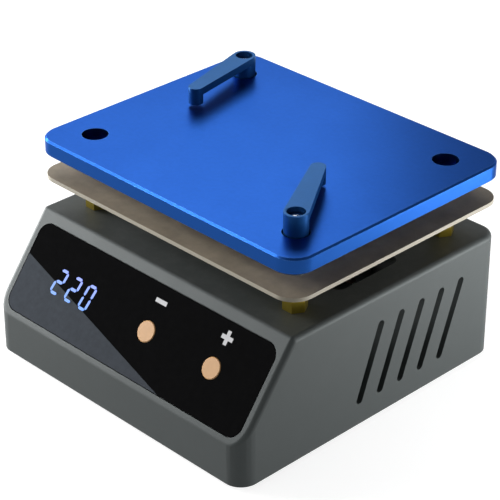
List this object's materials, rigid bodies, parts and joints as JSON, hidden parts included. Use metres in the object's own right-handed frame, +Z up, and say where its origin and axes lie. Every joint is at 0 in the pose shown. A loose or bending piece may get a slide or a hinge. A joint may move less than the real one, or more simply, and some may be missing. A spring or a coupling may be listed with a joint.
{
  "type": "pcb preheater",
  "caption": "Small bench hot plate that preheats a circuit board: blue aluminium plate with swinging clamps over a wedge housing with display and buttons.",
  "frame": {"origin": "on the resting surface, under the middle of the housing", "axes": "+X to the right seen from the control panel, +Y to the back, +Z up"},
  "size_m": [0.1002, 0.0994, 0.0672],
  "materials": {
    "housing_plastic": "semi-gloss moulded, grey",
    "base_plastic": "matte moulded, dark grey",
    "panel_gloss": "high gloss, black with a dark grey corner",
    "display_light": "lit light guides",
    "white_plastic": "moulded",
    "board_green": "solder mask",
    "button_tan": "satin, copper tan",
    "black_plastic": "moulded",
    "plate_blue": "blue anodised, fine blasted",
    "arm_blue": "dark blue anodised",
    "board_beige": "pressed mica board",
    "bare_aluminium": "extruded",
    "zinc_steel": "zinc plated",
    "standoff_brass": "turned from hexagonal bar",
    "foot_rubber": "matte",
    "fuse_glass": "clear tube",
    "terminal_green": "moulded",
    "switch_red": "gloss moulded",
    "lead_sleeve": "braided glass-fibre sleeve",
    "lead_brown": "extruded"
  },
  "bodies": {
    "base": {"housing": "housing_plastic", "base_cover": "base_plastic", "faceplate": "panel_gloss", "display_segments": "display_light", "display_module": "white_plastic", "control_board": "board_green", "power_board": "board_green", "tact_switch_minus": "black_plastic", "tact_switch_plus": "black_plastic", "supply_module": "black_plastic", "triac": "black_plastic", "power_inlet": "black_plastic", "switch_body": "black_plastic", "heating_plate": "plate_blue", "insulation_board": "board_beige", "heater": "bare_aluminium", "heat_sink": "bare_aluminium", "plate_spacer_front_left": "bare_aluminium", "plate_spacer_front_right": "bare_aluminium", "plate_spacer_back_left": "bare_aluminium", "plate_spacer_back_right": "bare_aluminium", "heater_strap_left": "zinc_steel", "heater_strap_right": "zinc_steel", "temperature_sensor": "zinc_steel", "clamp_spring_front": "zinc_steel", "clamp_spring_back": "zinc_steel", "inlet_pins": "zinc_steel", "switch_contacts": "zinc_steel", "clamp_screw_front": "zinc_steel", "clamp_screw_back": "zinc_steel", "base_screws": "zinc_steel", "power_board_screws": "zinc_steel", "control_board_screws": "zinc_steel", "plate_screws": "zinc_steel", "lower_standoff_screws": "zinc_steel", "upper_standoff_screws": "zinc_steel", "spacer_screws": "zinc_steel", "standoff_front_left": "standoff_brass", "standoff_front_right": "standoff_brass", "standoff_back_left": "standoff_brass", "standoff_back_right": "standoff_brass", "foot_front_left": "foot_rubber", "foot_front_right": "foot_rubber", "foot_back_left": "foot_rubber", "foot_back_right": "foot_rubber", "fuse": "fuse_glass", "terminal_block": "terminal_green", "plate_leads": "lead_sleeve", "sensor_lead": "lead_sleeve", "panel_cable": "lead_sleeve", "mains_leads": "lead_brown"},
    "button_minus": {"button_minus": "button_tan", "tact_plunger_minus": "black_plastic"},
    "button_plus": {"button_plus": "button_tan", "tact_plunger_plus": "black_plastic"},
    "rocker": {"switch_rocker": "switch_red"},
    "clamp_lift_front": {"clamp_washer_front": "zinc_steel"},
    "clamp_swing_front": {"clamp_arm_front": "arm_blue"},
    "clamp_lift_back": {"clamp_washer_back": "zinc_steel"},
    "clamp_swing_back": {"clamp_arm_back": "arm_blue"}
  },
  "joints": [
    {"name": "press_minus", "type": "slide", "parent": "base", "child": "button_minus", "axis": [0, 0.8018, -0.5976], "range_m": [0, 0.0003], "stiffness_N_per_m": 4000, "springref_m": -0.0001},
    {"name": "press_plus", "type": "slide", "parent": "base", "child": "button_plus", "axis": [0, 0.8018, -0.5976], "range_m": [0, 0.0003], "stiffness_N_per_m": 4000, "springref_m": -0.0001},
    {"name": "power_switch", "type": "hinge", "parent": "base", "child": "rocker", "pos_m": [0.022, 0.0438, 0.0203], "axis": [0, 0, 1], "range_deg": [-18, 0]},
    {"name": "lift_front", "type": "slide", "parent": "base", "child": "clamp_lift_front", "axis": [0, 0, 1], "range_m": [0, 0.0022], "stiffness_N_per_m": 1000, "springref_m": -0.001, "deforming": ["clamp_spring_front"]},
    {"name": "swing_front", "type": "hinge", "parent": "clamp_lift_front", "child": "clamp_swing_front", "pos_m": [0.0388, -0.01965, 0.0613], "axis": [0, 0, 1], "continuous": true},
    {"name": "lift_back", "type": "slide", "parent": "base", "child": "clamp_lift_back", "axis": [0, 0, 1], "range_m": [0, 0.0022], "stiffness_N_per_m": 1000, "springref_m": -0.001, "deforming": ["clamp_spring_back"]},
    {"name": "swing_back", "type": "hinge", "parent": "clamp_lift_back", "child": "clamp_swing_back", "pos_m": [-0.0388, 0.03765, 0.0613], "axis": [0, 0, 1], "continuous": true}
  ]
}
